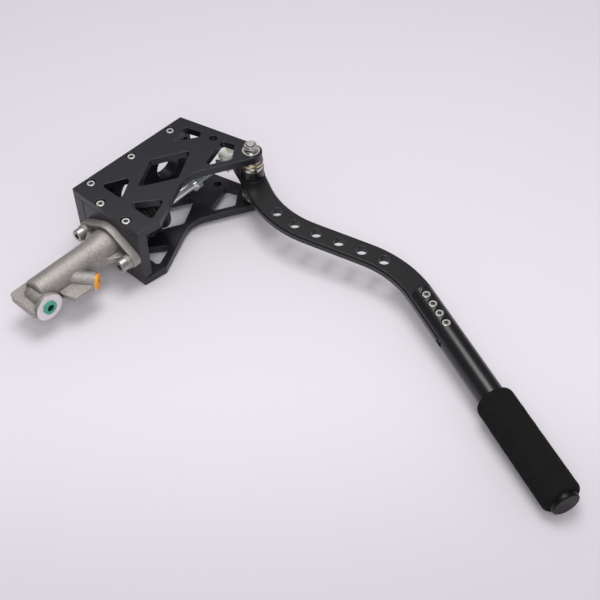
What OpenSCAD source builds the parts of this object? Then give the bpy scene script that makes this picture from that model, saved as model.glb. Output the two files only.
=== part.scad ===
// Hydraulic parking brake lever: plate box, S-shaped lever and bolted master cylinder.
// It lies on its side. +X runs along the base plate towards the pivot end, +Y points out of
// the base plate into the floor that it bolts to, and +Z is square to the side plates.
// The origin is the middle of the floor bolts, on the base plate's outer face.

/* [Plate box] */
// Length of the base plate
base_l = 147.5; // [135:0.5:165]
// Width of the box at its cylinder end
front_w = 95; // [90:0.5:110]
// Space between the side plates
inner_h = 56; // [52:0.5:70]
// Thickness of each side plate
plate_t = 8; // [7:0.5:12]
// Thickness of the base plate
base_t = 13.5; // [12:0.5:16]
// Thickness of the end plate that carries the cylinder
end_t = 11; // [10:0.5:14]
// Length of the side plate's straight open corner
corner_run = 26; // [20:1:32]
// How far that corner flares past the end plate
corner_flare = 3.3; // [1:0.1:6]
// Radius of the hollow in the side plate's open edge
waist_r = 33; // [20:1:40]

/* [Cut-outs] */
// Rim left between a plate and the cut-outs beside it
rim = 11.5; // [9:0.5:14]
// Corner radius of the cut-outs
cut_r = 3.3; // [1:0.1:4]
// Distance of the diamond's centre from the front end
diamond_x = 81; // [78:0.5:84]
// Length of the diamond
diamond_l = 74; // [60:1:78]
// Width of the diamond
diamond_w = 41; // [30:1:44]
// Diameter of the two large holes in the base plate
base_hole_d = 30; // [20:1:34]
// Distance between those holes
base_hole_pitch = 50; // [45:1:55]

/* [Fasteners] */
// Thread diameter of the frame and handle screws
screw_d = 5; // [4:0.5:6]
// Head diameter of these screws
screw_head_d = 8.6; // [8:0.1:10]
// Counterbore diameter for these heads
screw_bore_d = 10.4; // [10.2:0.1:11.5]
// Length of the frame screws below the head
frame_screw_l = 14; // [10:1:15]
// Distance between the end plate's frame screws
end_screw_pitch = 37; // [35.5:0.5:44]
// Diameter of the floor bolt holes
floor_hole_d = 8.5; // [6.5:0.5:9]
// Distance of the floor bolts' middle from the front end
floor_mid = 87; // [84:0.5:89]
// Floor bolt spacing along the base
floor_pitch_x = 103; // [100:0.5:106]
// Floor bolt spacing across the base
floor_pitch_z = 34; // [30:0.5:36]

/* [Pivot] */
// How far the pivot lies past the base plate's rear end
pivot_over = 10; // [6:0.5:14]
// Height of the pivot above the base plate's outer face
pivot_w = 93.3; // [90:0.1:100]
// Radius of the plates' rounded end at the pivot
boss_r = 11.4; // [11:0.1:14]
// Pivot bolt diameter
pivot_d = 8; // [8:0.5:9]
// Outside diameter of the sleeve clamped between the plates
sleeve_d = 14; // [13:0.5:15]
// Diameter of the rings on the sleeve
ring_d = 24; // [22:0.1:25]
// Thickness of the steel thrust ring
thrust_t = 3.4; // [2:0.1:5]
// Thickness of the brass washer
brass_t = 2.6; // [1:0.1:3]
// Thickness of the steel spacer ring
spacer_t = 6.2; // [5:0.1:7]

/* [Lever] */
// Width of the lever bar
bar_w = 26; // [24:0.5:28]
// Thickness of the lever bar
bar_t = 8; // [6:0.5:9]
// Chamfer along the bar's edges
bar_chamfer = 1.6; // [0.4:0.1:2]
// Radius of the lever's hub
hub_r = 12.4; // [12:0.1:12.8]
// Direction in which the bar leaves the hub, in degrees from +X
bar_heading = -118.8; // [-124:0.2:-114]
// Straight run of the bar from the pivot
run_1 = 23; // [18:0.5:30]
// Radius of the first bend
bend_r1 = 110; // [90:1:130]
// Angle of the first bend
bend_a1 = 42.4; // [36:0.2:48]
// Straight run between the bends
run_2 = 63; // [50:1:75]
// Radius of the second bend
bend_r2 = 111.5; // [90:0.5:130]
// Angle of the second bend
bend_a2 = 37.5; // [32:0.5:44]
// Number of lightening holes
light_count = 6; // [4:1:7]
// Diameter of the lightening holes
light_d = 12; // [8:0.5:14]
// Distance between the lightening holes, along the bar
light_pitch = 25; // [20:0.5:26]
// Distance of the first lightening hole from the pivot
light_first = 62; // [55:0.5:68]
// Angle of the short arm past square at rest
arm_lead = 16; // [12:0.5:17]
// Angle through which the lever pulls
lever_throw = 20; // [12:0.5:24]
// Radius of the short arm's round end
arm_end_r = 7.2; // [7.2:0.1:8.5]

/* [Handle] */
// Diameter of the handle
handle_d = 25.4; // [23:0.1:26]
// Bore of the handle's hollow part
handle_bore = 19; // [15:0.5:20]
// Length of the bar held in the handle's slot
slot_l = 58; // [56:1:66]
// Handle length from its slotted end to the end cap
handle_l = 243; // [225:1:260]
// Distance of the first handle screw from the handle's end
handle_screw_first = 10; // [8:0.5:12]
// Distance between the handle screws
handle_screw_pitch = 12.6; // [11.5:0.1:13]
// Diameter of the foam grip
grip_d = 35.2; // [32:0.1:40]
// Length of the foam grip
grip_l = 109; // [95:1:115]
// Length of handle that shows past the grip
handle_past_grip = 1.5; // [0.5:0.5:4]
// Thickness of the end cap's rim
cap_t = 5.5; // [3:0.5:7]

/* [Cylinder] */
// Radius of the cylinder's barrel
barrel_r = 16; // [15:0.5:18]
// Bore of the cylinder
bore_d = 19.05; // [17.5:0.05:20]
// Length from the flange's seat to the barrel's closed end
barrel_l = 97; // [94:0.5:104]
// Distance between the flange bolts
flange_pitch = 63; // [60:0.5:66]
// Thickness of the flange
flange_t = 8; // [6:0.5:10]
// Radius of the flange round the barrel
flange_r = 23.5; // [22:0.5:25]
// Radius of the flange's ears
ear_r = 8.8; // [8:0.1:9.5]
// Thickness of the flange at its bolt seats
ear_t = 12.5; // [11:0.5:13]
// Length of the nose inside the box
nose_l = 24; // [22:0.5:26]
// Radius of the nose
nose_r = 14.5; // [14:0.1:14.6]
// Radius of the outlet's machined face
outlet_r = 14.6; // [13:0.1:15.5]
// Distance of the outlet's face from the cylinder's axis
outlet_reach = 21.5; // [20:0.5:26]
// Radius of the inlet boss
inlet_r = 9; // [8.4:0.1:10]
// Length of the inlet boss from the cylinder's axis
inlet_reach = 36.5; // [34:0.5:40]
// Thickness of the flat web between the ports
web_t = 5.5; // [3:0.5:6.5]

/* [Push rod] */
// Diameter of the push rod
rod_d = 10; // [9.5:0.1:10.5]
// Thread diameter of the push rod's end
rod_thread_d = 8; // [7:0.5:8]
// Diameter of the clevis pin
pin_d = 8; // [6:0.5:8]
// Width of the clevis
clevis_w = 13.6; // [13:0.1:16]
// Height of the clevis
clevis_h = 19; // [17:0.5:22]
// Thickness of the clevis's back wall, which holds the rod's thread
clevis_wall = 3.5; // [3:0.1:5]
// Length of the clevis past its pin
clevis_tip = 7; // [6:0.5:9]
// Largest radius of the dust boot
boot_r = 20; // [18:0.5:21]
// Length of the dust boot past the nose
boot_l = 40; // [36:1:44]

/* [Hidden] */
$fn = 72;
// Clearances
bolt_gap = 0.25;
thread_gap = 0.05;
run_gap = 0.05;
slip_gap = 0.15;
side_gap = 0.1;
// Overlap of cutting shapes past the faces they cut
cut = 1;

half_h = inner_h / 2;
top_z = half_h + plate_t;
front_x = -floor_mid;
rear_x = front_x + base_l;
pivot = [rear_x + pivot_over, -pivot_w];
cyl_y = -(base_t + front_w) / 2;
head_h = screw_d;
head_sink = 0.9;
edge_c = 0.8;
socket_af = screw_d * 0.8;

// Short arm: the pin stays on the cylinder's axis, so its hole is a slot along the arm
pin_rise = pivot_w + cyl_y;
pin_far = pin_rise / cos(max(arm_lead, lever_throw - arm_lead));
arm_r = (pin_rise + pin_far) / 2;
pin_slot = (pin_far - pin_rise) / 2 + slip_gap;
pin_room = 0.3;
pin_at = [pivot[0] + pin_rise * tan(arm_lead), cyl_y];
arm_root_r = bar_w / 2;
arm_lean = arm_lead + asin((arm_root_r - arm_end_r) / arm_r);
hub_h = inner_h - 2 * (thrust_t + brass_t + spacer_t + side_gap);

// Lever path: lengths along the centre line where each stretch ends
bend_l1 = bend_r1 * bend_a1 * PI / 180;
bend_l2 = bend_r2 * bend_a2 * PI / 180;
len_1 = run_1 + bend_l1;
len_2 = len_1 + run_2;
len_3 = len_2 + bend_l2;
heading_2 = bar_heading + bend_a1;
heading_3 = heading_2 - bend_a2;
grip_start = handle_l - handle_past_grip - grip_l;

// Cylinder: positions along X
seat_x = front_x;
nose_x = seat_x + nose_l;
closed_x = seat_x - barrel_l;
bore_end_x = closed_x + 7;
outlet_x = closed_x - 1;
stop_x = nose_x - 4;
stop_t = 1.5;
clip_t = 1.2;
bolt_d = 8;
bolt_head_d = 13;
piston_l = 62;
piston_x = stop_x - piston_l;
washer_t = 1.8;
jam_t = 6.5;
lock_t = 5;
rod_seat_depth = 22;
rod_seat_x = stop_x - rod_seat_depth;
boot_wall = 1.6;
boot_x = nose_x - 9;
boot_end_x = nose_x + boot_l;

// Geometry helpers

// Point in the side plate's plane: x from the front end, w up from the base
function plan(x, w) = [front_x + x, -w];
function unit(v) = v / norm(v);
function polar(c, r, a) = c + r * [cos(a), sin(a)];
function arc(c, r, a0, a1, n = 16) = [for (i = [0:n]) polar(c, r, a0 + (a1 - a0) * i / n)];
function wrap(a) = a > 180 ? a - 360 : a < -180 ? a + 360 : a;

// Arc of radius r that rounds the corner q between its neighbours p and s
function corner(p, q, s, r) =
    let (u = unit(p - q), v = unit(s - q))
    let (half = acos(u * v) / 2, c = q + unit(u + v) * r / sin(half))
    let (d = r / tan(half), from = q + u * d - c, to = q + v * d - c)
    let (a = atan2(from[1], from[0]), b = atan2(to[1], to[0]))
    arc(c, r, a, a + wrap(b - a), 8);

function rounded(pts, r) = let (n = len(pts))
    [for (i = [0:n - 1]) each corner(pts[(i + n - 1) % n], pts[i], pts[(i + 1) % n], r)];

// Direction from circle c, r to where the line from p touches it, on the side s
function touch(p, c, r, s) = atan2(p[1] - c[1], p[0] - c[0]) + s * acos(r / norm(p - c));

// Point and heading along the lever's centre line
function bend_1() = polar(pivot, run_1, bar_heading) + bend_r1 * side(bar_heading);
function side(h) = [-sin(h), cos(h)];
function path(l) =
    l <= run_1 ? polar(pivot, l, bar_heading) :
    l <= len_1 ? bend_1() - bend_r1 * side(heading(l)) :
    l <= len_2 ? polar(path(len_1), l - len_1, heading_2) :
    l <= len_3 ? bend_2() + bend_r2 * side(heading(l)) :
    polar(path(len_3), l - len_3, heading_3);
function bend_2() = path(len_2) - bend_r2 * side(heading_2);
function heading(l) =
    l <= run_1 ? bar_heading :
    l <= len_1 ? bar_heading + (l - run_1) / bend_r1 * 180 / PI :
    l <= len_2 ? heading_2 :
    l <= len_3 ? heading_2 - (l - len_2) / bend_r2 * 180 / PI : heading_3;

// Puts children on the lever's path with +X along it
module on_path(l) {
    p = path(l);
    translate([p[0], p[1], 0]) rotate([0, 0, heading(l)]) children();
}

module at_pivot(z = 0) {
    translate([pivot[0], pivot[1], z]) children();
}

// Puts children on the cylinder's axis, with +Z along +X
module on_axis(x) {
    translate([x, cyl_y, 0]) rotate([0, 90, 0]) children();
}

module tube(outer_d, inner_d, h) {
    difference() {
        cylinder(d = outer_d, h = h);
        translate([0, 0, -cut]) cylinder(d = inner_d, h = h + 2 * cut);
    }
}

// Socket head screw: its head stands on z = 0 and its shank points down
module socket_screw(d, l, head_d, head_h, af) {
    edge = head_d * 0.05;
    difference() {
        union() {
            cylinder(d = head_d, h = head_h - edge);
            translate([0, 0, head_h - edge])
                cylinder(d1 = head_d, d2 = head_d - 2 * edge, h = edge);
            translate([0, 0, -l]) cylinder(d = d, h = l + cut / 2);
        }
        translate([0, 0, head_h * 0.45])
            cylinder(d = af / cos(30), h = head_h, $fn = 6);
    }
}

module hex_prism(af, h) {
    cylinder(d = af / cos(30), h = h, $fn = 6);
}

// Cutter that breaks a long edge through p; turn sets which way the edge runs
module edge_cut(p, l, turn) {
    translate(p) rotate(turn) rotate([0, 0, 45])
        cube([edge_c * sqrt(2), edge_c * sqrt(2), l + 2 * cut], center = true);
}

// Plate box

base_screw_front = 18.3;
base_screw_rear = 21.6;
base_screw_gap = (base_l - base_screw_front - base_screw_rear) / 2;
frame_screw_at = concat(
    [for (i = [0:2]) plan(base_screw_front + i * base_screw_gap, base_t / 2)],
    [for (s = [-1, 1]) [front_x + end_t / 2, cyl_y + s * end_screw_pitch / 2]]);

module plate_outline() {
    rear_corner = plan(base_l, 0);
    waist = plan(base_l - 59.1, pivot_w - 24.9);
    corner_far = plan(corner_run, front_w + corner_flare);
    corner_near = plan(0, front_w);
    a0 = touch(rear_corner, pivot, boss_r, -1);
    a1 = touch(waist, pivot, boss_r, 1);
    edge_r = 1;
    polygon(concat(
        corner(corner_near, plan(0, 0), rear_corner, edge_r),
        corner(plan(0, 0), rear_corner, polar(pivot, boss_r, a0), edge_r),
        arc(pivot, boss_r, a0, a0 - (a0 - a1 + 360) % 360, 24),
        corner(polar(pivot, boss_r, a1), waist, corner_far, waist_r),
        corner(waist, corner_far, corner_near, edge_r),
        corner(corner_far, corner_near, plan(0, 0), edge_r)));
}

module plate_cuts() {
    near_x = end_t + rim;
    centre = plan(diamond_x, base_t + 33);
    polygon(rounded([plan(near_x, base_t + 3.5), plan(near_x + 27.5, base_t + 17.3),
        plan(near_x, base_t + 34)], cut_r));
    polygon(rounded([plan(near_x, front_w - 38.5), plan(near_x + 28, front_w - 15.5),
        plan(near_x, front_w - 4)], cut_r));
    polygon(rounded([for (a = [0:90:270])
        centre + [diamond_l / 2 * cos(a), diamond_w / 2 * sin(a)]], cut_r));
    polygon(rounded([plan(base_l - 36, base_t + 7.7), plan(base_l - 8, base_t + 2.8),
        plan(base_l - 2.3, base_t + 21), plan(base_l - 9.5, base_t + 24)], cut_r));
    polygon(rounded([pivot + [-48, 20.3], pivot + [-22, 5.8], pivot + [-3.5, 19.5],
        pivot + [-8, 33.3]], cut_r));
}

module side_plate() {
    spare_hole_d = 8.5;
    spare_at = pivot + [-11.1, 43.3];
    floor_z = top_z - head_h - head_sink;
    difference() {
        translate([0, 0, half_h]) linear_extrude(plate_t) difference() {
            plate_outline();
            plate_cuts();
        }
        for (p = frame_screw_at) translate([p[0], p[1], half_h - cut]) {
            cylinder(d = screw_d + 2 * bolt_gap, h = plate_t + 2 * cut);
            translate([0, 0, floor_z - half_h + cut]) cylinder(d = screw_bore_d, h = plate_t);
        }
        at_pivot(half_h - cut) cylinder(d = pivot_d + 2 * bolt_gap, h = plate_t + 2 * cut);
        translate([spare_at[0], spare_at[1], half_h - cut])
            cylinder(d = spare_hole_d, h = plate_t + 2 * cut);
    }
}

module side_plate_upper() {
    color("dimgray") side_plate();
}

module side_plate_lower() {
    color("dimgray") mirror([0, 0, 1]) side_plate();
}

// Tapped holes for the frame screws, from both sides
module frame_taps() {
    depth = frame_screw_l - plate_t + head_h + head_sink + 2;
    for (p = frame_screw_at, s = [0, 1]) mirror([0, 0, s])
        translate([p[0], p[1], half_h - depth])
            cylinder(d = screw_d + 2 * thread_gap, h = depth + cut);
}

module base_plate() {
    color("dimgray") difference() {
        translate([front_x, -base_t, -half_h]) cube([base_l, base_t, inner_h]);
        for (s = [-1, 1]) translate([s * base_hole_pitch / 2, cut, 0]) rotate([90, 0, 0])
            cylinder(d = base_hole_d, h = base_t + 2 * cut);
        for (sx = [-1, 1], sz = [-1, 1])
            translate([sx * floor_pitch_x / 2, cut, sz * floor_pitch_z / 2]) rotate([90, 0, 0])
                cylinder(d = floor_hole_d, h = base_t + 2 * cut);
        for (s = [-1, 1]) {
            edge_cut([front_x + base_l / 2, 0, s * half_h], base_l, [0, 90, 0]);
            for (x = [front_x, rear_x]) edge_cut([x, -base_t / 2, s * half_h], base_t, [90, 0, 0]);
        }
        for (x = [front_x, rear_x], y = [0, -base_t]) edge_cut([x, y, 0], inner_h, [0, 0, 0]);
        frame_taps();
    }
}

module end_plate() {
    color("dimgray") difference() {
        translate([front_x, -front_w, -half_h]) cube([end_t, front_w - base_t, inner_h]);
        on_axis(front_x - cut) cylinder(r = nose_r + bolt_gap, h = end_t + 2 * cut);
        for (s = [-1, 1]) translate([0, s * flange_pitch / 2, 0]) on_axis(front_x - cut)
            cylinder(d = bolt_d + 2 * thread_gap, h = end_t + 2 * cut);
        for (s = [-1, 1]) {
            edge_cut([front_x, -(front_w + base_t) / 2, s * half_h], front_w - base_t, [90, 0, 0]);
            edge_cut([front_x + end_t / 2, -front_w, s * half_h], end_t, [0, 90, 0]);
        }
        for (p = [[front_x, -base_t], [front_x, -front_w], [front_x + end_t, -front_w]])
            edge_cut([p[0], p[1], 0], inner_h, [0, 0, 0]);
        frame_taps();
    }
}

module frame_screws() {
    for (p = frame_screw_at) translate([p[0], p[1], top_z - head_h - head_sink])
        socket_screw(screw_d, frame_screw_l, screw_head_d, head_h, socket_af);
}

module frame_screws_upper() {
    color("gainsboro") frame_screws();
}

module frame_screws_lower() {
    color("gainsboro") mirror([0, 0, 1]) frame_screws();
}

// Master cylinder

// Flange outline, inset by d: a round middle with two ears, joined by straight flanks
module flange_2d(d = 0) {
    reach = flange_pitch / 2;
    flank = acos((flange_r - ear_r) / reach);
    for (s = [0, 180]) rotate(s) polygon(concat([[0, 0]],
        arc([0, 0], flange_r - d, 90, flank, 8),
        arc([reach, 0], ear_r - d, flank, -flank, 16),
        arc([0, 0], flange_r - d, -flank, -90, 8)));
}

// Cast flange: a raised rim round a pocket, with a rib and a bolt pad on each side
module cylinder_flange() {
    rim_w = 3;
    pocket = 2.7;
    rib_w = 6;
    rib_rise = 13;
    reach = flange_pitch / 2;
    rotate([0, 0, 90]) {
        difference() {
            linear_extrude(flange_t) flange_2d();
            translate([0, 0, flange_t - pocket]) linear_extrude(pocket + cut) flange_2d(rim_w);
        }
        for (s = [-1, 1]) {
            translate([s * reach, 0, 0.5]) cylinder(r = bolt_head_d / 2 + 0.8, h = ear_t - 0.5);
            rotate([90, 0, 0]) translate([0, 0, -rib_w / 2]) linear_extrude(rib_w)
                polygon([[0, flange_t / 2], [s * reach, flange_t / 2], [s * reach, ear_t - 0.7],
                    [s * (reach - bolt_head_d / 2), ear_t - 0.7],
                    [s * (barrel_r - 1), ear_t + rib_rise], [0, ear_t + rib_rise]]);
        }
    }
}

inlet_x = seat_x - 68.7;
inlet_angle = -53;
port_d = 9;

module inlet_axis(l = 0) {
    translate([inlet_x, cyl_y, 0]) rotate([0, 0, inlet_angle]) translate([l, 0, 0])
        rotate([0, 90, 0]) children();
}

module outlet_axis(l = 0) {
    translate([outlet_x, cyl_y - l, 0]) rotate([90, 0, 0]) children();
}

module cylinder_tab() {
    tab_t = 8;
    tab_reach = 18;
    half_w = barrel_r + 1;
    low_y = cyl_y - outlet_reach + 2;
    tab_r = 4;
    low_r = 1.5;
    inner = closed_x + 12;
    outer = closed_x - tab_reach;
    translate([0, 0, -tab_t / 2]) linear_extrude(tab_t) polygon(concat(
        [[inner, cyl_y - half_w + 4], [inner, cyl_y + half_w - 4], [closed_x + 4, cyl_y + half_w]],
        arc([outer + tab_r, cyl_y + half_w - tab_r], tab_r, 90, 180, 6),
        arc([outer + low_r, low_y + low_r], low_r, 180, 270, 4),
        [[outlet_x, low_y]]));
}

module cylinder_web() {
    translate([0, 0, -web_t / 2]) linear_extrude(web_t) polygon([
        [closed_x + 16.8, cyl_y - 10], [inlet_x + 6, cyl_y - 10],
        [inlet_x + 13.7, cyl_y - outlet_reach - 11.5], [inlet_x - 7.2, cyl_y - outlet_reach - 11.5],
        [closed_x + 16.2, cyl_y - outlet_reach + 2]]);
}

module outlet_boss() {
    boss_back = 1.2;
    neck_r = 9.6;
    collar = 4;
    flare = 5;
    outlet_axis(-boss_back) cylinder(r = neck_r, h = outlet_reach + boss_back - collar);
    translate([outlet_x, cyl_y + boss_back, 0]) sphere(r = neck_r);
    outlet_axis(outlet_reach - collar - flare) cylinder(r1 = neck_r - 0.1, r2 = outlet_r, h = flare);
    outlet_axis(outlet_reach - collar) cylinder(r = outlet_r, h = collar);
}

module cylinder_body() {
    flare_l = 24;
    dome = 1.5;
    passage_d = 4;
    color("silver") difference() {
        union() {
            on_axis(closed_x + dome) cylinder(r = barrel_r, h = barrel_l - dome - flange_t / 2);
            on_axis(closed_x) cylinder(r1 = barrel_r - dome, r2 = barrel_r, h = dome);
            on_axis(seat_x - flange_t - flare_l)
                cylinder(r1 = barrel_r - 0.3, r2 = barrel_r + 3, h = flare_l + flange_t / 2);
            on_axis(seat_x - flange_t) cylinder(r = nose_r, h = nose_l + flange_t);
            on_axis(seat_x) mirror([0, 0, 1]) cylinder_flange();
            cylinder_tab();
            cylinder_web();
            outlet_boss();
            inlet_axis() cylinder(r = inlet_r, h = inlet_reach);
        }
        on_axis(bore_end_x) cylinder(d = bore_d, h = nose_x - bore_end_x + cut);
        on_axis(outlet_x - 1) cylinder(d = passage_d, h = bore_end_x - outlet_x + 2);
        outlet_axis(-2) cylinder(d = passage_d, h = outlet_reach);
        outlet_axis(outlet_reach - 12) cylinder(d = port_d, h = 12 + cut);
        inlet_axis(inlet_reach - 14) cylinder(d = port_d, h = 14 + cut);
        inlet_axis() cylinder(d = passage_d - 1, h = inlet_reach - 10);
        for (s = [-1, 1]) translate([0, s * flange_pitch / 2, 0])
            on_axis(seat_x - ear_t - cut) cylinder(d = bolt_d + 2 * bolt_gap, h = ear_t + 2 * cut);
        on_axis(stop_x + stop_t) cylinder(d = bore_d + 1.6, h = clip_t + 0.2);
    }
}

module cylinder_bolts() {
    bolt_l = ear_t + end_t;
    color("gainsboro") for (s = [-1, 1]) translate([0, s * flange_pitch / 2, 0])
        on_axis(seat_x - ear_t) mirror([0, 0, 1])
            socket_screw(bolt_d, bolt_l, bolt_head_d, bolt_d, 6);
}

// Plastic port plug: a flange with a hollow stem that sits in the port
module port_plug(flange_d, flange_h, hollow_d, hollow_l) {
    stem_l = 9;
    difference() {
        union() {
            cylinder(d = flange_d, h = flange_h);
            translate([0, 0, -stem_l]) cylinder(d = port_d - 2 * side_gap, h = stem_l + flange_h / 2);
        }
        translate([0, 0, flange_h - hollow_l]) cylinder(d = hollow_d, h = hollow_l + cut);
    }
}

module outlet_plug() {
    color("mediumseagreen") outlet_axis(outlet_reach) port_plug(14, 1.6, 7.4, 8);
}

module inlet_plug() {
    color("orange") inlet_axis(inlet_reach) port_plug(15.2, 2.2, 4, 1.6);
}

module stop_washer() {
    color("silver") on_axis(stop_x) tube(bore_d - 2 * slip_gap, rod_d + 2.4, stop_t);
}

module circlip() {
    color("dimgray") on_axis(stop_x + stop_t + 0.1) difference() {
        tube(bore_d + 1.2, bore_d - 3, clip_t);
        translate([0, -2, -cut]) cube([bore_d, 4, clip_t + 2 * cut]);
    }
}

// Coil spring as a swept ring of points
module return_spring() {
    wire_r = 0.8;
    coil_r = bore_d / 2 - wire_r - 0.6;
    turns = 7;
    steps = 14;
    sides = 6;
    start = bore_end_x + wire_r + 0.05;
    rise = piston_x - wire_r - 0.05 - start;
    n = turns * steps;
    function ring_point(i, k) = let (a = 360 * i / steps, b = 360 * k / sides)
        [(coil_r + wire_r * cos(b)) * cos(a), (coil_r + wire_r * cos(b)) * sin(a),
            rise * i / n + wire_r * sin(b)];
    color("lightsteelblue") on_axis(start) polyhedron(
        points = [for (i = [0:n], k = [0:sides - 1]) ring_point(i, k)],
        faces = concat([[for (k = [0:sides - 1]) k]],
            [for (i = [0:n - 1], k = [0:sides - 1]) let (a = i * sides, b = (k + 1) % sides)
                [a + k, a + sides + k, a + sides + b, a + b]],
            [[for (k = [sides - 1:-1:0]) n * sides + k]]), convexity = 8);
}

// Bellows boot: it grips the nose, keeps its full width to the last fold and closes on the rod
module dust_boot() {
    folds = 4;
    depth = 4;
    lip_r = rod_d / 2 + slip_gap + boot_wall;
    nose_fit = nose_r + slip_gap;
    run = boot_end_x - nose_x - 3;
    fold = run / folds;
    outside = concat([[nose_fit + boot_wall, boot_x], [nose_fit + boot_wall, nose_x]],
        [for (i = [0:folds - 1]) each [[boot_r, nose_x + fold * (i + 0.35)],
            [boot_r, nose_x + fold * (i + (i < folds - 1 ? 0.65 : 0.85))],
            [i < folds - 1 ? boot_r - depth : boot_r - 2, nose_x + fold * (i + 1)]]],
        [[lip_r, boot_end_x - 2.4], [lip_r, boot_end_x]]);
    inside = concat([[lip_r - boot_wall, boot_end_x], [lip_r - boot_wall, boot_end_x - 4.4],
            [boot_r - boot_wall - 1.6, boot_end_x - 3 - boot_wall - 0.4]],
        [for (i = [folds - 1:-1:0]) each [[boot_r - boot_wall, nose_x + fold * (i + 0.62)],
            [boot_r - boot_wall, nose_x + fold * (i + 0.38)],
            [boot_r - depth - boot_wall, nose_x + fold * i + 0.3]]],
        [[nose_fit, nose_x + 0.2], [nose_fit, boot_x]]);
    color("black") on_axis(0) rotate_extrude() polygon(concat(outside, inside));
}

// Pivot stack

nut_h = 9;
nut_flange_d = 18.4;
nut_af = 13;

module pivot_bolt() {
    head_t = 5.3;
    color("gainsboro") at_pivot() union() {
        translate([0, 0, -top_z - head_t]) hex_prism(nut_af, head_t);
        translate([0, 0, -top_z - 1.2]) cylinder(d = nut_flange_d, h = 1.2);
        translate([0, 0, -top_z - 1]) cylinder(d = pivot_d, h = 2 * top_z + nut_h + 2);
    }
}

// Flange lock nut with a round collar at its top
module pivot_nut() {
    flange_h = 1.6;
    collar_h = 2.4;
    color("gainsboro") at_pivot(top_z) difference() {
        union() {
            cylinder(d = nut_flange_d, h = flange_h);
            cylinder(d1 = nut_flange_d - 0.6, d2 = nut_af - 0.2, h = flange_h + 1.2);
            hex_prism(nut_af, nut_h - collar_h);
            cylinder(d = nut_af - 0.8, h = nut_h);
        }
        translate([0, 0, -cut]) cylinder(d = pivot_d + 2 * thread_gap, h = nut_h + 2 * cut);
    }
}

module pivot_sleeve() {
    color("silver") at_pivot(-half_h) tube(sleeve_d, pivot_d + 2 * bolt_gap, inner_h);
}

module ring(z, t, d) {
    at_pivot(z) tube(d, sleeve_d + 2 * slip_gap, t);
}

module thrust_ring_upper() {
    color("silver") ring(half_h - thrust_t, thrust_t, ring_d - 2.4);
}

module thrust_ring_lower() {
    color("silver") ring(-half_h, thrust_t, ring_d - 2.4);
}

module brass_washer_upper() {
    color("goldenrod") ring(half_h - thrust_t - brass_t, brass_t, ring_d);
}

module brass_washer_lower() {
    color("goldenrod") ring(-half_h + thrust_t, brass_t, ring_d);
}

// Spacer ring with a narrower neck on the brass washer's side
module spacer_ring() {
    neck_h = 2.2;
    ring(hub_h / 2 + side_gap, spacer_t - neck_h, ring_d);
    ring(hub_h / 2 + side_gap + spacer_t - neck_h - 0.5, neck_h + 0.5, ring_d - 2);
}

module spacer_ring_upper() {
    color("silver") spacer_ring();
}

module spacer_ring_lower() {
    color("silver") mirror([0, 0, 1]) spacer_ring();
}

// Lever

bush_d = sleeve_d + 4;
bar_end = len_3 + slot_l;

// Flat bar's section with chamfered edges
module bar_section(grow = 0) {
    c = bar_chamfer;
    w = bar_w / 2 + grow;
    t = bar_t / 2 + grow;
    polygon([[-w, -t + c], [-w + c, -t], [w - c, -t], [w, -t + c],
        [w, t - c], [w - c, t], [-w + c, t], [-w, t - c]]);
}

// Straight stretch: it reaches a little into the bends before and after it
module bar_run(from, l, before, after) {
    on_path(from) translate([-before, 0, 0]) rotate([90, 0, 90])
        linear_extrude(before + l + after) bar_section();
}

// Bend: a hair larger than the straight stretches, so that their ends lie inside it
module bar_bend(centre, from, r, a) {
    translate([centre[0], centre[1], 0]) rotate([0, 0, from])
        rotate_extrude(angle = a) translate([r, 0]) bar_section(0.01);
}

// Short arm: a tapered link from the hub to its round end at the pin
module short_arm() {
    flank = acos((arm_root_r - arm_end_r) / arm_r);
    at_pivot(-bar_t / 2) rotate([0, 0, 90 - arm_lead]) linear_extrude(bar_t) polygon(concat(
        [[0, 0]], [polar([0, 0], arm_root_r, -flank)],
        arc([arm_r, 0], arm_end_r, -flank, flank, 20), [polar([0, 0], arm_root_r, flank)]));
}

module lever_bar() {
    end_r = 3;
    joint_l = 1;
    color("dimgray") difference() {
        union() {
            at_pivot(-hub_h / 2) cylinder(r = hub_r, h = hub_h);
            at_pivot(-bar_t / 2 - 0.02) cylinder(r = bar_w / 2 + 0.2, h = bar_t + 0.04);
            bar_run(0, run_1, 0, joint_l);
            bar_bend(bend_1(), bar_heading - 90, bend_r1, bend_a1);
            bar_run(len_1, run_2, joint_l, joint_l);
            bar_bend(bend_2(), heading_3 + 90, bend_r2, bend_a2);
            bar_run(len_3, slot_l - end_r, joint_l, 0);
            on_path(bar_end) translate([0, 0, -bar_t / 2]) linear_extrude(bar_t) polygon(concat(
                [[-end_r, -bar_w / 2 + bar_chamfer]],
                arc([-end_r, -bar_w / 2 + end_r + bar_chamfer], end_r, -90, 0, 8),
                arc([-end_r, bar_w / 2 - end_r - bar_chamfer], end_r, 0, 90, 8),
                [[-end_r, bar_w / 2 - bar_chamfer]]));
            short_arm();
        }
        at_pivot(-hub_h) cylinder(d = bush_d, h = 2 * hub_h);
        at_pivot(-bar_t) rotate([0, 0, 90 - arm_lead]) {
            for (s = [-1, 1]) translate([arm_r + s * pin_slot, 0, 0])
                cylinder(d = pin_d + 2 * pin_room, h = 2 * bar_t);
            translate([arm_r - pin_slot, -pin_d / 2 - pin_room, 0])
                cube([2 * pin_slot, pin_d + 2 * pin_room, 2 * bar_t]);
        }
        for (i = [0:light_count - 1]) on_path(light_first + i * light_pitch)
            translate([0, 0, -bar_t]) cylinder(d = light_d, h = 2 * bar_t);
        handle_screw_places() translate([0, 0, -bar_t])
            cylinder(d = screw_d + 2 * bolt_gap, h = 2 * bar_t);
    }
}

module hub_bush() {
    color("goldenrod") at_pivot(-hub_h / 2)
        tube(bush_d, sleeve_d + 2 * run_gap, hub_h);
}

// Handle

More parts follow.
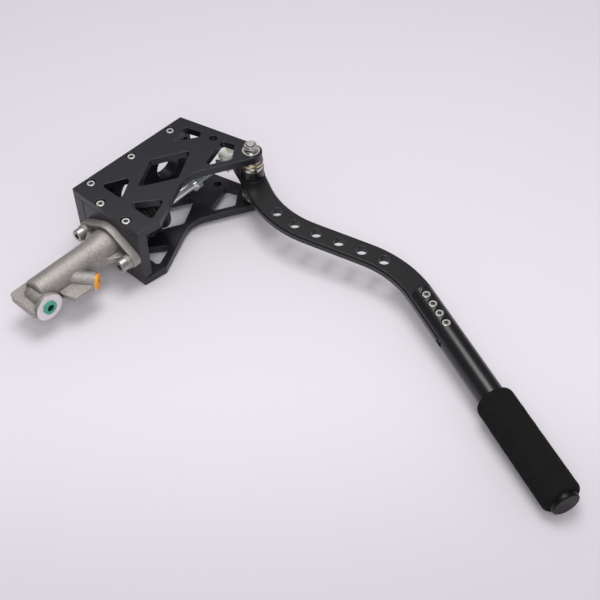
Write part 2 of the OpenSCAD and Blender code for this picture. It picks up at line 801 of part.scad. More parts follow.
handle_screw_count = 4;
handle_screw_l = 16;
handle_head_z = handle_d / 2 - head_h - 1.2;

module handle_screw_places() {
    for (i = [0:handle_screw_count - 1])
        on_path(len_3 + handle_screw_first + i * handle_screw_pitch) children();
}

// Puts children on the handle's axis, with +Z along it, l past its slotted end
module on_handle(l) {
    on_path(len_3) translate([l, 0, 0]) rotate([0, 90, 0]) children();
}

module handle_tube() {
    plain_l = 14;
    solid_l = slot_l + plain_l;
    mouth = 1;
    slot_h = bar_t + 2 * side_gap;
    end_room = 0.5;
    color("dimgray") difference() {
        union() {
            on_handle(mouth) cylinder(d = handle_d, h = handle_l - mouth);
            on_handle(0) cylinder(d1 = handle_d - 2 * mouth, d2 = handle_d, h = mouth);
        }
        on_handle(solid_l) cylinder(d = handle_bore, h = handle_l);
        on_path(len_3) {
            translate([-cut, -handle_d, -slot_h / 2])
                cube([slot_l + end_room + cut, 2 * handle_d, slot_h]);
            translate([slot_l + end_room, handle_d, 0]) rotate([90, 0, 0])
                cylinder(d = slot_h - 0.02, h = 2 * handle_d);
        }
        handle_screw_places() {
            translate([0, 0, handle_head_z]) cylinder(d = screw_bore_d, h = handle_d);
            cylinder(d = screw_d + 2 * bolt_gap, h = handle_d);
            translate([0, 0, handle_head_z - handle_screw_l - 0.6])
                cylinder(d = screw_d + 2 * thread_gap, h = handle_screw_l);
        }
    }
}

module handle_screws() {
    color("gainsboro") handle_screw_places() translate([0, 0, handle_head_z])
        socket_screw(screw_d, handle_screw_l, screw_head_d, head_h, socket_af);
}

module foam_grip() {
    inner = handle_d / 2 + side_gap / 2;
    outer = grip_d / 2;
    end_r = min(outer - inner - 0.5, 4);
    color("black") on_handle(grip_start) rotate_extrude() polygon(concat(
        [[inner, 0]], arc([outer - end_r, end_r], end_r, -90, 0, 6),
        arc([outer - end_r, grip_l - end_r], end_r, 0, 90, 6), [[inner, grip_l]]));
}

// Plug cap: a chamfered rim on the handle's end and a ribbed plug inside it
module end_cap() {
    edge = 0.8;
    plug_l = 14;
    rib_t = 1.2;
    color("darkslategray") {
        on_handle(handle_l) cylinder(d = handle_d, h = cap_t - edge);
        on_handle(handle_l + cap_t - edge)
            cylinder(d1 = handle_d, d2 = handle_d - 2 * edge, h = edge);
        on_handle(handle_l - plug_l) cylinder(d = handle_bore - 1.4, h = plug_l + edge);
        for (i = [0:2]) on_handle(handle_l - 4 - i * 4)
            cylinder(d = handle_bore - 2 * run_gap, h = rib_t);
    }
}

// Push rod and clevis

// Depth of the clevis's slot behind the pin: the leaning arm's edge clears its back wall
slot_back = pin_rise * tan(arm_lead) + 0.6
    + (arm_root_r - (pin_rise - clevis_w / 2) * sin(arm_lean)) / cos(arm_lean);
clevis_x = pin_at[0] - slot_back - clevis_wall;
thread_l = 44.7;
rod_shoulder_x = clevis_x - thread_l;
rod_end_x = pin_at[0] - slot_back - 0.5;

module push_rod() {
    tip_r = 4;
    tip_l = 7;
    lap = 0.5;
    color("gainsboro") {
        on_axis(rod_seat_x) cylinder(r1 = tip_r - 1, r2 = tip_r, h = 1);
        on_axis(rod_seat_x + 1) cylinder(r = tip_r, h = tip_l - 1);
        on_axis(rod_seat_x + tip_l - lap)
            cylinder(d = rod_d, h = rod_shoulder_x - rod_seat_x - tip_l + lap);
        on_axis(rod_shoulder_x - lap) cylinder(d = rod_thread_d, h = rod_end_x - rod_shoulder_x + lap);
    }
}

module rod_washer() {
    washer_d = 16;
    color("silver") on_axis(rod_shoulder_x)
        tube(washer_d, rod_thread_d + 2 * thread_gap, washer_t);
}

module jam_nut() {
    color("gainsboro") on_axis(rod_shoulder_x + washer_t) difference() {
        hex_prism(nut_af, jam_t);
        translate([0, 0, -cut]) cylinder(d = rod_thread_d + 2 * thread_gap, h = jam_t + 2 * cut);
    }
}

// Lock nut on the rod's thread, tight against the clevis
module clevis_nut() {
    color("gainsboro") on_axis(clevis_x - lock_t) difference() {
        hex_prism(nut_af, lock_t);
        translate([0, 0, -cut]) cylinder(d = rod_thread_d + 2 * thread_gap, h = lock_t + 2 * cut);
    }
}

// Clevis: a block on the rod's thread, slotted to straddle the short arm
module clevis() {
    slot_h = bar_t + 4 * side_gap;
    color("cornsilk") difference() {
        translate([clevis_x, cyl_y - clevis_w / 2, -clevis_h / 2])
            cube([pin_at[0] + clevis_tip - clevis_x, clevis_w, clevis_h]);
        translate([pin_at[0] - slot_back, cyl_y - clevis_w, -slot_h / 2])
            cube([slot_back + clevis_tip + cut, 2 * clevis_w, slot_h]);
        on_axis(clevis_x - cut) cylinder(d = rod_thread_d + 2 * thread_gap, h = clevis_wall + 2 * cut);
        translate([pin_at[0], pin_at[1], -clevis_h])
            cylinder(d = pin_d + 2 * run_gap, h = 2 * clevis_h);
    }
}

pin_head_t = 5.6;
pin_groove = 1.2;
pin_tail = 3.2;

// Clevis pin with a hexagon head
module clevis_pin() {
    edge = 0.7;
    color("cornsilk") translate([pin_at[0], pin_at[1], 0]) difference() {
        union() {
            translate([0, 0, clevis_h / 2]) intersection() {
                hex_prism(nut_af, pin_head_t);
                union() {
                    cylinder(d = nut_af * 1.2, h = pin_head_t - edge);
                    translate([0, 0, pin_head_t - edge])
                        cylinder(d1 = nut_af * 1.2, d2 = nut_af - 0.3, h = edge);
                }
            }
            translate([0, 0, -clevis_h / 2 - pin_tail])
                cylinder(d = pin_d, h = clevis_h + pin_tail + pin_head_t / 2);
        }
        translate([0, 0, -clevis_h / 2 - 0.3 - pin_groove]) tube(pin_d + 2, pin_d - 2, pin_groove);
    }
}

// Snap ring in the pin's groove, open on one side
module pin_clip() {
    clip_w = pin_groove - 0.2;
    color("dimgray") translate([pin_at[0], pin_at[1], -clevis_h / 2 - 0.4 - clip_w]) difference() {
        tube(pin_d + 4, pin_d - 2 + 2 * side_gap, clip_w);
        translate([0, -2, -cut]) cube([pin_d, 4, clip_w + 2 * cut]);
    }
}

// Piston and seals

land_l = 14;
groove_l = 4;
groove_d = bore_d - 5;
front_groove = 4;
rear_groove = 50;

module piston() {
    socket_d = rod_d + 1.4;
    color("silver") on_axis(piston_x) difference() {
        cylinder(d = bore_d - 2 * run_gap, h = piston_l);
        translate([0, 0, land_l]) tube(bore_d + 2, bore_d - 7, piston_l - 2 * land_l - 4);
        for (g = [front_groove, rear_groove]) translate([0, 0, g])
            tube(bore_d + 2, groove_d, groove_l);
        translate([0, 0, rod_seat_x - piston_x]) cylinder(d = socket_d, h = piston_l);
    }
}

module seal(at) {
    on_axis(piston_x + at + side_gap)
        tube(bore_d - 2 * run_gap, groove_d + 2 * run_gap, groove_l - 2 * side_gap);
}

module primary_seal() {
    color("black") seal(front_groove);
}

module secondary_seal() {
    color("black") seal(rear_groove);
}

side_plate_upper();
side_plate_lower();
base_plate();
end_plate();
frame_screws_upper();
frame_screws_lower();
cylinder_body();
cylinder_bolts();
outlet_plug();
inlet_plug();
stop_washer();
circlip();
return_spring();
dust_boot();
pivot_bolt();
pivot_nut();
pivot_sleeve();
thrust_ring_upper();
thrust_ring_lower();
brass_washer_upper();
brass_washer_lower();
spacer_ring_upper();
spacer_ring_lower();
lever_bar();
hub_bush();
handle_tube();
handle_screws();
foam_grip();
end_cap();
push_rod();
rod_washer();
jam_nut();
clevis_nut();
clevis();
clevis_pin();
pin_clip();
piston();
primary_seal();
secondary_seal();
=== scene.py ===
import math

import bmesh
import bpy
from mathutils import Matrix, Vector, noise


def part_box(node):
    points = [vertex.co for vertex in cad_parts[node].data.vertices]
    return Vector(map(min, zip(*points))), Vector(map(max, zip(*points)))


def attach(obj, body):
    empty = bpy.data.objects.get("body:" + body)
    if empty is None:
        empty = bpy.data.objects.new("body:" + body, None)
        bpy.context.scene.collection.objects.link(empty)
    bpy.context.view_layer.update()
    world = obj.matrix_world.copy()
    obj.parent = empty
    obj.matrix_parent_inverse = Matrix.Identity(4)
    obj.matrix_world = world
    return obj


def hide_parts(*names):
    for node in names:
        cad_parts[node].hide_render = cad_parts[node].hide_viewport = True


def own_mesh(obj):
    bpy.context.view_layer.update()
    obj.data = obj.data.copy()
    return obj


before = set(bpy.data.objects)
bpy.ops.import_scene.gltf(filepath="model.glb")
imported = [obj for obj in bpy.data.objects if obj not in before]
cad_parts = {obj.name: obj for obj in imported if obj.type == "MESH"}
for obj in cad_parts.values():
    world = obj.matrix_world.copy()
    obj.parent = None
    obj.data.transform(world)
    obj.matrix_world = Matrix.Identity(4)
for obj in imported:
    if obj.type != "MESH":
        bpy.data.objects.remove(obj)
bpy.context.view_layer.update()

# Camera, sheet and lamps
# The lever lies on a pale sheet under soft studio lamps, seen from above the cylinder's end.
# It rests on the pivot bolt's head, a corner of the lower side plate and the grip, so the
# sheet is a few degrees off the side plates' own plane.
scene = bpy.context.scene
scene.view_settings.view_transform = "Standard"

camera_at = Vector((-0.52356, -0.70905, 0.77341))
azimuth, elevation, roll = -0.8229, 0.84728, -0.015937
back = Vector((math.sin(azimuth) * math.cos(elevation),
               -math.cos(azimuth) * math.cos(elevation), math.sin(elevation)))
level = Vector((math.cos(azimuth), math.sin(azimuth), 0))
rise = back.cross(level)
right = level * math.cos(roll) + rise * math.sin(roll)
up = rise * math.cos(roll) - level * math.sin(roll)
camera = bpy.data.objects.new("camera", bpy.data.cameras.new("camera"))
camera.data.lens = 66.0
camera.data.sensor_width = 36
camera.data.sensor_fit = "HORIZONTAL"
camera.matrix_world = Matrix.Translation(camera_at) @ Matrix((right, up, back)).transposed().to_4x4()
scene.collection.objects.link(camera)
bpy.context.scene.camera = camera

sheet_point = Vector((-0.0866, -0.0949, -0.0362))
sheet_up = Vector((0.0359, 0.0449, 0.9983)).normalized()
sheet_across = sheet_up.cross(Vector((0, 1, 0))).normalized()
sheet_along = sheet_up.cross(sheet_across)
sheet_reach = 6
sheet_corners = [sheet_point + (sheet_across * x + sheet_along * y) * sheet_reach
                 for x, y in ((-1, -1), (1, -1), (1, 1), (-1, 1))]
sheet_mesh = bpy.data.meshes.new("sheet")
sheet_mesh.from_pydata(sheet_corners, [], [(0, 1, 2, 3)])
sheet = bpy.data.objects.new("sheet", sheet_mesh)
scene.collection.objects.link(sheet)


class Value:
    """A socket in a node tree: sums on it add Math nodes."""

    def __init__(self, tree, socket):
        self.tree = tree
        self.socket = socket

    def work_out(self, operation, first, second):
        made = self.tree.nodes.new("ShaderNodeMath")
        made.operation = operation
        for place, value in enumerate((first, second)):
            if isinstance(value, Value):
                self.tree.links.new(value.socket, made.inputs[place])
            else:
                made.inputs[place].default_value = value
        return Value(self.tree, made.outputs[0])

    def __add__(self, other):
        return self.work_out("ADD", self, other)

    def __radd__(self, other):
        return self.work_out("ADD", other, self)

    def __sub__(self, other):
        return self.work_out("SUBTRACT", self, other)

    def __rsub__(self, other):
        return self.work_out("SUBTRACT", other, self)

    def __mul__(self, other):
        return self.work_out("MULTIPLY", self, other)

    def __rmul__(self, other):
        return self.work_out("MULTIPLY", other, self)

    def __pow__(self, other):
        return self.work_out("POWER", self, other)

    def __lt__(self, other):
        return self.work_out("LESS_THAN", self, other)

    def __gt__(self, other):
        return self.work_out("GREATER_THAN", self, other)


class Nodes:
    """A node tree, with one method for every node that isn't a sum."""

    def __init__(self, tree):
        self.tree = tree

    def node(self, kind, settings=None, output=0, **sockets):
        """Make a node. A socket goes by its name, or by its number as in6."""
        made = self.tree.nodes.new("ShaderNode" + kind)
        for name, value in (settings or {}).items():
            setattr(made, name, value)
        for name, value in sockets.items():
            number = name.removeprefix("in")
            socket = made.inputs[int(number) if number.isdigit() else name.replace("_", " ")]
            if isinstance(value, Value):
                self.tree.links.new(value.socket, socket)
            else:
                socket.default_value = value
        return Value(self.tree, made.outputs[output])


class Finish(Nodes):
    """A material with one Principled shader; constants go straight on its sockets."""

    def __init__(self, name, **constants):
        self.material = bpy.data.materials.new(name)
        self.material.use_nodes = True
        super().__init__(self.material.node_tree)
        self.shader = self.tree.nodes["Principled BSDF"]
        for socket, value in constants.items():
            self.shader.inputs[socket.replace("_", " ")].default_value = value

    def feed(self, socket, value):
        self.tree.links.new(value.socket, self.shader.inputs[socket])

    def mix(self, amount, first, second):
        return self.node("Mix", {"data_type": "RGBA"}, 2, in0=amount, in6=first, in7=second)

    def place(self):
        return self.node("TexCoord", output="Object")

    def along(self, axis):
        return self.node("SeparateXYZ", output=axis, Vector=self.place())

    def grain(self, scale, detail=4.0, roughness=0.6):
        return self.node("TexNoise", Vector=self.place(), Scale=scale, Detail=detail, Roughness=roughness)

    def bump(self, height, strength, distance, **normal):
        return self.node("Bump", Height=height, Strength=strength, Distance=distance, **normal)


near_side, far_side = -0.36, -0.78
paper = Finish("pale_sheet", Roughness=0.7, Specular_IOR_Level=0.2)
# Painted shade: the sheet is painted darker towards its far side, where the lamps' light falls off.
painted_falloff = paper.node("MapRange", {"interpolation_type": "SMOOTHSTEP"}, From_Min=near_side, From_Max=far_side,
                 Value=paper.along("X") + paper.along("Y"))
pale = paper.mix(paper.grain(1.5, 2.0), (0.78, 0.745, 0.79, 1), (0.82, 0.785, 0.825, 1))
paper.feed("Base Color", paper.mix(painted_falloff, pale, (0.63, 0.597, 0.635, 1)))
sheet_mesh.materials.append(paper.material)

fill_strength, fill_in_reflections = 0.50, 0.11
world = bpy.data.worlds.new("studio")
world.use_nodes = True
scene.world = world
surround = world.node_tree.nodes["Background"]
surround.inputs["Color"].default_value = (0.93, 0.92, 0.96, 1)
reflected = Nodes(world.node_tree).node("LightPath", output="Is Glossy Ray")
fill = fill_strength - (fill_strength - fill_in_reflections) * reflected
world.node_tree.links.new(fill.socket, surround.inputs["Strength"])


def lamp(name, place, target, size, power, diffuse=True):
    data = bpy.data.lights.new(name, "AREA")
    data.shape = "DISK"
    data.size = size
    data.energy = power
    made = bpy.data.objects.new(name, data)
    made.location = place
    made.rotation_euler = (Vector(target) - Vector(place)).to_track_quat("-Z", "Y").to_euler()
    made.visible_diffuse = diffuse
    scene.collection.objects.link(made)


lamp("top", (0.12, -0.10, 1.6), (0, -0.15, 0), 0.9, 11.3)
lamp("sheen", (0.28, 0.30, 1.5), (0, -0.2, 0), 0.9, 8.5, diffuse=False)
lamp("front", (-0.85, -1.1, 1.35), (0, -0.15, 0), 1.0, 10)
lamp("back", (0.9, 1.2, 1.3), (0, -0.1, 0), 1.6, 1.0, diffuse=False)

# Side plates, base plate and end plate
# Milled aluminium plates, black anodised to a satin finish. Their edges are lightly broken and carry
# a painted highlight in a paler colour, and the five screws on each side clamp them into a box.


def dress(finish, *nodes):
    for node in nodes:
        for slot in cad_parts[node].material_slots:
            slot.material = finish.material


def round_edges(finish, radius):
    """The normal of the surface with its sharp edges rounded by this radius."""
    return finish.node("Bevel", {"samples": 6}, Radius=radius)


def edge_wear_and_highlight(finish, rounded):
    """A mask of the edges, where the rounded normal leaves the flat one."""
    flat = finish.node("NewGeometry", output="Normal")
    likeness = finish.node("VectorMath", {"operation": "DOT_PRODUCT"}, "Value", in0=rounded, in1=flat)
    return finish.node("Clamp", Value=(1 - likeness) * 5.0)


anodised = Finish("black_anodised", Specular_IOR_Level=0.52, Specular_Tint=(0.92, 0.90, 1.0, 1))
plate_edges = round_edges(anodised, 0.001)
plate_tone = anodised.mix(anodised.grain(55.0), (0.0075, 0.0082, 0.0105, 1), (0.0125, 0.0133, 0.0165, 1))
# Painted highlight: the plates' edges are painted paler than their faces.
plate_edge_highlight = edge_wear_and_highlight(anodised, plate_edges)
anodised.feed("Base Color", anodised.mix(plate_edge_highlight, plate_tone, (0.055, 0.056, 0.06, 1)))
anodised.feed("Roughness", 0.30 + anodised.grain(900.0, 2.0) * 0.12)
anodised.feed("Normal", anodised.bump(anodised.grain(2600.0, 2.0), 0.08, 0.0002, Normal=plate_edges))
dress(anodised, "side_plate_upper", "side_plate_lower", "base_plate", "end_plate")

# Frame screws, handle screws and cylinder bolts
# Turned stainless screws with hexagon sockets. The frame and handle screws sit in counterbores
# and the two larger bolts hold the cylinder's flange.


def open_sky(finish, distance):
    """How open the surface is within this distance: low in sockets and corners."""
    return finish.node("AmbientOcclusion", {"samples": 6, "only_local": True}, "AO", Distance=distance)


def turned_screw(name, socket_painted_shade, dark, light, least_roughness):
    """Turned stainless: each head is bright and its hexagon socket is darkened with painted shade."""
    finish = Finish(name)
    head = finish.node("MapRange", Value=open_sky(finish, 0.006), From_Min=0.5, From_Max=0.9)
    steel = finish.mix(finish.grain(300.0), dark, light)
    finish.feed("Base Color", finish.mix(head, (socket_painted_shade, socket_painted_shade, socket_painted_shade, 1), steel))
    finish.feed("Metallic", 0.5 + head * 0.4)
    finish.feed("Roughness", least_roughness + finish.grain(700.0, 3.0) * 0.12)
    finish.feed("Normal", round_edges(finish, 0.0004))
    return finish


frame_screw = turned_screw("bright_stainless", 0.2, (0.70, 0.68, 0.66, 1), (0.84, 0.82, 0.80, 1), 0.26)
dress(frame_screw, "frame_screws_upper", "frame_screws_lower")
handle_screw = turned_screw("dull_stainless", 0.16, (0.52, 0.50, 0.47, 1), (0.64, 0.61, 0.58, 1), 0.26)
dress(handle_screw, "handle_screws")
flange_bolt = turned_screw("grey_stainless", 0.01, (0.38, 0.365, 0.35, 1), (0.50, 0.48, 0.465, 1), 0.38)
dress(flange_bolt, "cylinder_bolts")

# Cylinder body
# A gravity-cast aluminium master cylinder, left as cast and blasted, so it is grey and fine
# grained. Only the ring faces of its two ports are turned bright.
bore_y = -0.05425
outlet_face, outlet_side = -0.07575, -0.1698
inlet_at, inlet_turn, inlet_end, inlet_side = Vector((-0.1557, bore_y)), math.radians(-53), 0.0365, -0.12
turned_depth = 0.0003
casting = Finish("cast_aluminium")
casting_edges = round_edges(casting, 0.0014)
mottle = casting.grain(120.0, 6.0, 0.7)
speckle = casting.node("MapRange", Value=casting.grain(560.0, 3.0, 0.8), From_Min=0.40, From_Max=0.66)
east = casting.along("X")
north = casting.along("Y")
turned_outlet = (north < outlet_face + turned_depth) * (east < outlet_side)
along_inlet = (east - inlet_at.x) * math.cos(inlet_turn) + (north - inlet_at.y) * math.sin(inlet_turn)
turned_inlet = (along_inlet > inlet_end - turned_depth) * (east < inlet_side)
bright = casting.node("Clamp", Value=turned_outlet + turned_inlet)
grey = casting.mix(mottle * 0.6 + speckle * 0.4, (0.22, 0.204, 0.19, 1), (0.56, 0.523, 0.495, 1))
# Paler edges: partly worn bright, partly a painted highlight.
worn_and_highlit_grey = casting.mix(edge_wear_and_highlight(casting, casting_edges), grey, (0.66, 0.62, 0.60, 1))
# Painted shade: corners and recesses of the casting are painted dark by an openness mask.
painted_shade_grey = casting.mix(open_sky(casting, 0.010), (0.07, 0.063, 0.057, 1), worn_and_highlit_grey)
casting.feed("Base Color", casting.mix(bright, painted_shade_grey, (0.80, 0.76, 0.77, 1)))
casting.feed("Metallic", 0.6 + bright * 0.2)
casting.feed("Roughness", 0.44 + mottle * 0.14 - bright * 0.16)
casting.feed("Normal", casting.bump(speckle * 0.3 + mottle, 0.6, 0.0007, Normal=casting_edges))
dress(casting, "cylinder_body")

# Port plugs
# Moulded polythene plugs, one green and one orange, pushed into the two ports. They keep dirt
# out until the hoses are fitted.


def polythene(name, hollow_painted_shade, dark, light):
    """Moulded plastic whose open middle is darkened with painted shade."""
    finish = Finish(name, Roughness=0.42)
    colour = finish.mix(finish.grain(260.0), dark, light)
    finish.feed("Base Color", finish.mix(open_sky(finish, 0.008) ** 1.5, hollow_painted_shade, colour))
    return finish


green = polythene("green_polythene", (0.002, 0.02, 0.014, 1),
                  (0.045, 0.30, 0.20, 1), (0.075, 0.40, 0.28, 1))
dress(green, "outlet_plug")
orange = polythene("orange_polythene", (0.25, 0.07, 0.002, 1),
                   (0.78, 0.30, 0.012, 1), (0.88, 0.38, 0.02, 1))
dress(orange, "inlet_plug")

# Piston, seals, stop washer and circlip
# They are inside the cylinder: a turned aluminium piston with two rubber seals, held in by a
# ground steel washer and a ring of spring steel.


def two_tones(finish, scale, dark, light, detail=4.0):
    """Feed the base colour with a fine grain of two tones."""
    finish.feed("Base Color", finish.mix(finish.grain(scale, detail), dark, light))


piston_alloy = Finish("turned_aluminium", Metallic=1.0, Roughness=0.3)
two_tones(piston_alloy, 400.0, (0.58, 0.58, 0.58, 1), (0.68, 0.68, 0.68, 1))
dress(piston_alloy, "piston")
rubber = Finish("moulded_rubber", Roughness=0.5, Specular_IOR_Level=0.4)
two_tones(rubber, 180.0, (0.008, 0.008, 0.008, 1), (0.016, 0.016, 0.016, 1))
rubber.feed("Normal", rubber.bump(rubber.grain(1500.0), 0.1, 0.0002))
dress(rubber, "primary_seal", "secondary_seal")
ground_steel = Finish("ground_steel", Metallic=1.0)
two_tones(ground_steel, 260.0, (0.50, 0.48, 0.45, 1), (0.64, 0.62, 0.58, 1))
ground_steel.feed("Roughness", 0.2 + ground_steel.grain(900.0) * 0.12)
ground_steel.feed("Normal", round_edges(ground_steel, 0.0004))
dress(ground_steel, "stop_washer")
spring_steel = Finish("oiled_spring_steel", Metallic=1.0, Roughness=0.35)
two_tones(spring_steel, 500.0, (0.16, 0.16, 0.17, 1), (0.27, 0.27, 0.28, 1))
dress(spring_steel, "circlip")

# Dust boot
# A moulded rubber bellows. One end grips the cylinder's nose and the other closes on the push
# rod.


def new_piece(name, mesh, finish, body, slot, *nodes):
    piece = bpy.data.objects.new(name, mesh)
    mesh.materials.append(finish.material)
    scene.collection.objects.link(piece)
    for face in mesh.polygons:
        face.use_smooth = True
    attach(piece, body)
    if nodes:
        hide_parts(*nodes)
    return piece


def spin(name, profile, place, steps=96):
    """A closed ring of (radius, along) points turned about the x axis, then put in place."""
    count = len(profile)
    points = [place @ Vector((along, radius * math.cos(turn), radius * math.sin(turn)))
              for turn in (2 * math.pi * step / steps for step in range(steps))
              for radius, along in profile]
    faces = [(step * count + i, step * count + (i + 1) % count,
              (step + 1) % steps * count + (i + 1) % count, (step + 1) % steps * count + i)
             for step in range(steps) for i in range(count)]
    mesh = bpy.data.meshes.new(name)
    mesh.from_pydata(points, [], faces)
    shell = bmesh.new()
    shell.from_mesh(mesh)
    bmesh.ops.recalc_face_normals(shell, faces=shell.faces)
    shell.to_mesh(mesh)
    shell.free()
    return mesh


boot_start, nose_end, boot_end = -0.072, -0.063, -0.023
cuff_radius, cuff_bore = 0.01645, 0.01465
valley_radius, crest_radius, last_drop = 0.0160, 0.0200, 0.0022
lip_radius, lip_bore = 0.0068, 0.00515
boot_wall, wall_shift = 0.0016, 0.0006
boot_folds, fold_steps, fold_run = 4, 12, boot_end - nose_end - 0.003
boot_outside = [(cuff_radius - 0.0002, boot_start), (cuff_radius, boot_start + 0.001),
                (cuff_radius, nose_end - 0.001)]
boot_waves = []
for i in range(boot_folds * fold_steps + 1):
    phase = i / fold_steps
    wave = (0.5 - 0.5 * math.cos(2 * math.pi * phase)) ** 0.8
    past_last_crest = max(phase - boot_folds + 0.5, 0) / 0.5
    radius = valley_radius + (crest_radius - valley_radius) * wave
    if past_last_crest:
        radius = crest_radius - last_drop * past_last_crest ** 3
    boot_waves.append((radius, nose_end + fold_run * phase / boot_folds))
boot_lip = [(valley_radius, boot_end - 0.0026), (0.0085, boot_end - 0.0024),
            (lip_radius, boot_end - 0.0021), (lip_radius, boot_end - 0.0005), (0.0064, boot_end)]
boot_inside = [(lip_bore, boot_end), (lip_bore, boot_end - 0.0044), (0.0166, boot_end - 0.0050)]
boot_inside += [(radius - boot_wall, along - wall_shift) for radius, along in boot_waves[-5::-1]]
boot_inside += [(cuff_bore, nose_end - 0.0012), (cuff_bore, boot_start)]
boot_mesh = spin("boot", boot_outside + boot_waves + boot_lip + boot_inside,
                 Matrix.Translation((0, bore_y, 0)))
boot = new_piece("boot", boot_mesh, rubber, "box", "boot_rubber", "dust_boot")
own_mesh(boot)

# Return spring
# A coil of spring steel wire between the cylinder's closed end and the piston. It is out of
# sight.
spring_start, spring_end = -0.177, -0.129
coil_radius, wire_radius, coil_turns = 0.008125, 0.0008, 7
coil_steps, wire_sides = coil_turns * 28, 8
coil_run = spring_end - spring_start - 2 * wire_radius
coil_points = []
for i in range(coil_steps + 1):
    turn = 2 * math.pi * coil_turns * i / coil_steps
    along = spring_start + wire_radius + coil_run * i / coil_steps
    for k in range(wire_sides):
        side = 2 * math.pi * k / wire_sides
        radius = coil_radius + wire_radius * math.cos(side)
        coil_points.append((along + wire_radius * math.sin(side),
                            bore_y + radius * math.cos(turn), radius * math.sin(turn)))
coil_faces = []
for i in range(coil_steps):
    for k in range(wire_sides):
        a = i * wire_sides + k
        b = i * wire_sides + (k + 1) % wire_sides
        coil_faces.append((a, b, b + wire_sides, a + wire_sides))
coil_faces.append(tuple(range(wire_sides))[::-1])
coil_faces.append(tuple(coil_steps * wire_sides + k for k in range(wire_sides)))
coil_mesh = bpy.data.meshes.new("coil")
coil_mesh.from_pydata(coil_points, [], coil_faces)
coil = new_piece("coil", coil_mesh, spring_steel, "box", "spring_steel", "return_spring")
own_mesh(coil)

# Pivot bolt, nut, sleeve, rings and bush
# A bright steel bolt and a lock nut with a dark insert clamp a ground sleeve between the plates.
# The lever's brass bush turns on the sleeve, between steel rings and brass washers.
pivot_at, bolt_radius, insert_radius, insert_floor = Vector((0.0705, -0.0933)), 0.00403, 0.0050, 0.0440
bolt_steel = Finish("bright_bolt_steel")
off_x = bolt_steel.along("X") - pivot_at.x
off_y = bolt_steel.along("Y") - pivot_at.y
from_axis = (off_x ** 2.0 + off_y ** 2.0) ** 0.5
insert = (from_axis > bolt_radius) * (from_axis < insert_radius) * (bolt_steel.along("Z") > insert_floor)
facing = bolt_steel.node("NewGeometry", output="Normal")
turned_face = bolt_steel.node("SeparateXYZ", output="Z", Vector=facing) > 0.9
bolt_tone = bolt_steel.mix(bolt_steel.grain(240.0, 5.0), (0.45, 0.43, 0.412, 1), (0.60, 0.578, 0.56, 1))
bolt_steel.feed("Base Color", bolt_steel.mix(insert, bolt_tone, (0.05, 0.045, 0.042, 1)))
bolt_steel.feed("Metallic", 0.95 - insert * 0.95)
bolt_steel.feed("Roughness", 0.13 + bolt_steel.grain(800.0) * 0.1 + turned_face * 0.3)
bolt_steel.feed("Normal", round_edges(bolt_steel, 0.0004))
dress(bolt_steel, "pivot_bolt", "pivot_nut")
dress(ground_steel, "pivot_sleeve", "thrust_ring_upper", "thrust_ring_lower",
      "spacer_ring_upper", "spacer_ring_lower")
brass = Finish("turned_brass", Metallic=1.0)
two_tones(brass, 220.0, (0.52, 0.44, 0.30, 1), (0.68, 0.60, 0.44, 1))
brass.feed("Roughness", 0.26 + brass.grain(800.0) * 0.14)
brass.feed("Normal", round_edges(brass, 0.0003))
dress(brass, "brass_washer_upper", "brass_washer_lower", "hub_bush")

# Lever bar and handle tube
# The bar is cut from thick aluminium plate and the handle is turned from bar, slotted over it
# and screwed. Both are black anodised, smoother than the plates.
lever_black = Finish("smooth_black_anodised", Specular_IOR_Level=0.46)
lever_edges = round_edges(lever_black, 0.0007)
lever_tone = lever_black.mix(lever_black.grain(60.0), (0.008, 0.008, 0.0095, 1), (0.013, 0.013, 0.0145, 1))
# Painted highlight: the bar's and tube's edges are painted paler than their faces.
lever_edge_highlight = edge_wear_and_highlight(lever_black, lever_edges)
lever_black.feed("Base Color", lever_black.mix(lever_edge_highlight, lever_tone, (0.07, 0.07, 0.075, 1)))
lever_black.feed("Roughness", 0.25 + lever_black.grain(45.0, 2.0) * 0.08)
lever_black.feed("Normal", lever_edges)
dress(lever_black, "lever_bar", "handle_tube")

# Foam grip
# A sleeve of black closed-cell foam pushed onto the handle until it covers the cap's joint. It is
# soft and dull, its ends are rounded over and its surface is full of fine pores.
handle_heading = math.radians(-113.9)
handle_dir = Vector((math.cos(handle_heading), math.sin(handle_heading), 0))
grip_low, grip_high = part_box("foam_grip")
grip_overhang = 0.0025
grip_middle = (Vector(grip_low) + Vector(grip_high)) / 2 + handle_dir * grip_overhang / 2
grip_length, grip_radius, grip_bore, grip_round = 0.109 + grip_overhang, 0.0176, 0.01275, 0.0052
round_steps, straight_steps = 8, 40
grip_half, grip_straight = grip_length / 2, grip_length - 2 * grip_round
round_end = []
for i in range(round_steps, -1, -1):
    sweep = math.radians(90 * i / round_steps)
    round_end.append((grip_radius - grip_round * (1 - math.sin(sweep)),
                      grip_half - grip_round * (1 - math.cos(sweep))))
round_start = [(radius, -along) for radius, along in reversed(round_end)]
straight = [(grip_radius, -grip_half + grip_round + grip_straight * i / straight_steps)
            for i in range(1, straight_steps)]
grip_profile = [(grip_bore, -grip_half)] + round_start + straight + round_end + [(grip_bore, grip_half)]
grip_place = Matrix.Translation(grip_middle) @ Matrix.Rotation(handle_heading, 4, "Z")
grip_mesh = spin("grip", grip_profile, grip_place, 128)
uneven_depth, uneven_scale, bore_margin = 0.00018, 140, 0.001
for point in grip_mesh.vertices:
    spoke = point.co - grip_middle
    spoke -= handle_dir * spoke.dot(handle_dir)
    if spoke.length > grip_bore + bore_margin:
        point.co += spoke.normalized() * uneven_depth * noise.noise(point.co * uneven_scale)
foam = Finish("black_foam", Roughness=0.95, Specular_IOR_Level=0.12)
two_tones(foam, 90.0, (0.0065, 0.0065, 0.006, 1), (0.0125, 0.0125, 0.012, 1), 6.0)
pores = foam.node("TexVoronoi", {"feature": "F1"}, "Distance", Vector=foam.place(), Scale=1500.0)
foam.feed("Normal", foam.bump(pores + foam.grain(700.0), 0.5, 0.0004))
grip = new_piece("grip", grip_mesh, foam, "lever", "grip_foam", "foam_grip")

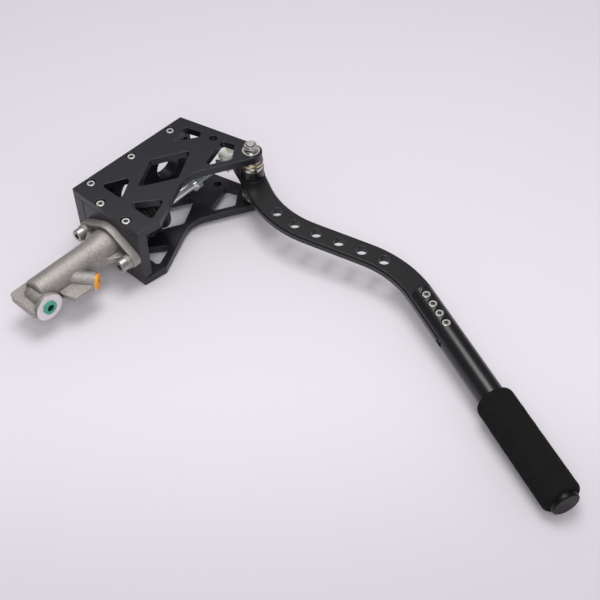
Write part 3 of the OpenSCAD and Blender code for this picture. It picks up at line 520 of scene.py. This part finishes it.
# End cap
# A moulded black plastic cap with a satin face. Its ribbed plug is pushed into the handle's
# open end, and its rim stands out of the foam.
cap_black = Finish("satin_cap_plastic", Specular_IOR_Level=0.18)
two_tones(cap_black, 150.0, (0.003, 0.003, 0.0036, 1), (0.006, 0.006, 0.007, 1))
cap_black.feed("Roughness", 0.34 + cap_black.grain(600.0) * 0.1)
cap_black.feed("Normal", round_edges(cap_black, 0.0006))
dress(cap_black, "end_cap")

# Push rod, nuts, clevis and clevis pin
# The zinc-plated rod is threaded for its two nuts and the clevis. The clevis block and the
# hexagon-headed pin that joins it to the short arm have a pale passivated finish.
zinc = Finish("bright_zinc", Metallic=0.8)
two_tones(zinc, 240.0, (0.78, 0.83, 0.85, 1), (0.90, 0.94, 0.95, 1), 5.0)
zinc.feed("Roughness", 0.14 + zinc.grain(800.0) * 0.1)
zinc.feed("Normal", round_edges(zinc, 0.0004))
dress(zinc, "push_rod", "rod_washer", "jam_nut", "clevis_nut")

thread_start, thread_end, thread_pitch = 0.0305, 0.0615, 0.00125
thread_root, thread_depth = 0.00396, 0.00028
turn_steps, fade_steps = 28, 10
thread_steps = int((thread_end - thread_start - thread_pitch) / thread_pitch * turn_steps)
thread_points = []
for i in range(thread_steps + 1):
    turn = 2 * math.pi * i / turn_steps
    along = thread_start + thread_pitch * i / turn_steps
    crest = thread_root + thread_depth * min(1.0, i / fade_steps, (thread_steps - i) / fade_steps)
    for radius, shift in ((thread_root, 0), (crest, 0.42), (crest, 0.58), (thread_root, 1)):
        thread_points.append((along + shift * thread_pitch,
                              bore_y + radius * math.cos(turn), radius * math.sin(turn)))
thread_faces = [(i * 4 + k, i * 4 + k + 1, i * 4 + k + 5, i * 4 + k + 4)
                for i in range(thread_steps) for k in range(3)]
thread_mesh = bpy.data.meshes.new("rod_thread")
thread_mesh.from_pydata(thread_points, [], thread_faces)
cut_thread = Finish("oiled_zinc_thread", Metallic=0.9)
two_tones(cut_thread, 300.0, (0.30, 0.35, 0.37, 1), (0.46, 0.52, 0.54, 1))
cut_thread.feed("Roughness", 0.22 + cut_thread.grain(900.0) * 0.1)
new_piece("rod_thread", thread_mesh, cut_thread, "rod", "zinc")

cream = Finish("pale_passivated_zinc", Metallic=0.05)
two_tones(cream, 160.0, (0.91, 0.89, 0.79, 1), (0.96, 0.95, 0.88, 1), 5.0)
cream.feed("Roughness", 0.34 + cream.grain(700.0) * 0.14)
cream.feed("Normal", round_edges(cream, 0.0005))
dress(cream, "clevis", "clevis_pin")
dress(spring_steel, "pin_clip")
